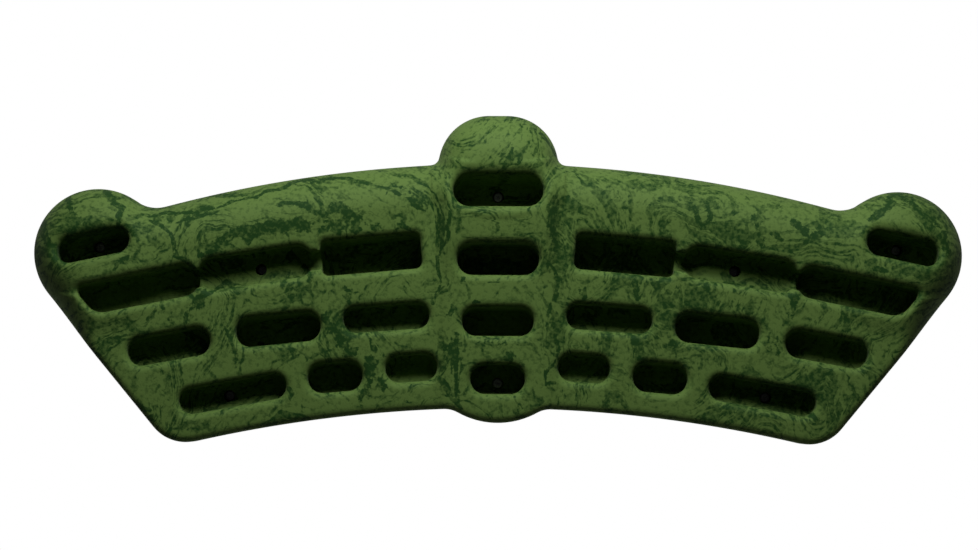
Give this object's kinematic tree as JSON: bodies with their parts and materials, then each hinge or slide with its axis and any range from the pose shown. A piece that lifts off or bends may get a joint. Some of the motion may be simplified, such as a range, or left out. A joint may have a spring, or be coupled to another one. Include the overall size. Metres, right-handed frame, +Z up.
{
  "type": "hangboard",
  "caption": "Arched cast-resin climbing hangboard with a centre jug, corner jugs, a sloper and rows of finger pockets, with its mounting screws.",
  "frame": {"origin": "on the flat back, at the middle of the board's width and height", "axes": "+X across the board to the right as seen from the front, +Y out of the back into the wall, +Z up"},
  "size_m": [0.819, 0.124, 0.2889],
  "materials": {
    "resin": "two greens marbled together in one pour, with a fine sandy texture",
    "steel": "zinc-plated steel, satin"
  },
  "bodies": {
    "root": {"resin_board": "resin", "screw_jug_left": "steel", "screw_jug_right": "steel", "screw_edge_left": "steel", "screw_edge_right": "steel", "screw_lower_left": "steel", "screw_lower_right": "steel", "screw_centre_jug": "steel", "screw_bottom_centre": "steel"}
  },
  "joints": []
}
